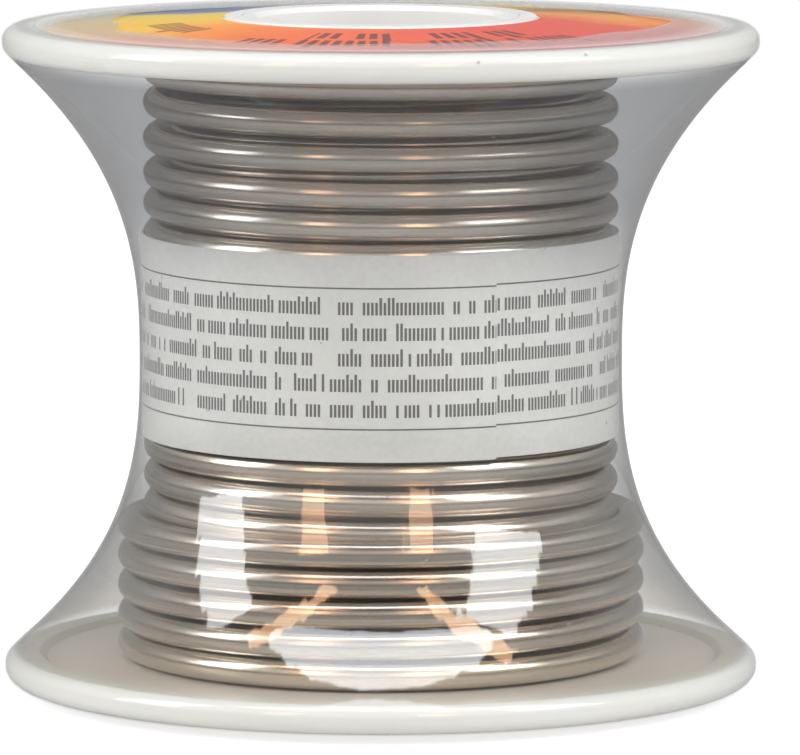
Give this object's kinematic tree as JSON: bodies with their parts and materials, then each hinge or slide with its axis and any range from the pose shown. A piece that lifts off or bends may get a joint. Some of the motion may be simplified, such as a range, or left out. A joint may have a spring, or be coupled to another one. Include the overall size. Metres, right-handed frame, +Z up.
{
  "type": "solder wire spool",
  "caption": "Shrink-wrapped spool of flux-cored solder wire: flared plastic flanges, hub bore, wound wire, paper band and face labels.",
  "frame": {"origin": "on the spindle bore's axis, at the end face of the lower hub ring that the spool stands on", "axes": "+Z up along the spindle bore, +X and +Y across the flanges; the wire's end is at the back, towards +Y"},
  "size_m": [0.0638, 0.0638, 0.0571],
  "materials": {
    "spool_plastic": "natural white moulded plastic, smooth gloss",
    "solder": "drawn tin alloy wire, satin",
    "flux": "amber rosin",
    "band_paper": "uncoated paper with dark print",
    "face_print": "coated paper, printed yellow to red",
    "film": "clear shrink film, glossy"
  },
  "bodies": {
    "root": {"lower_spool_half": "spool_plastic", "upper_spool_half": "spool_plastic", "wire_layer_1": "solder", "wire_layer_2": "solder", "wire_layer_3": "solder", "wire_layer_4": "solder", "wire_last_turn": "solder", "flux_core": "flux", "band_label": "band_paper", "lower_face_label": "face_print", "upper_face_label": "face_print", "shrink_film": "film"}
  },
  "joints": []
}
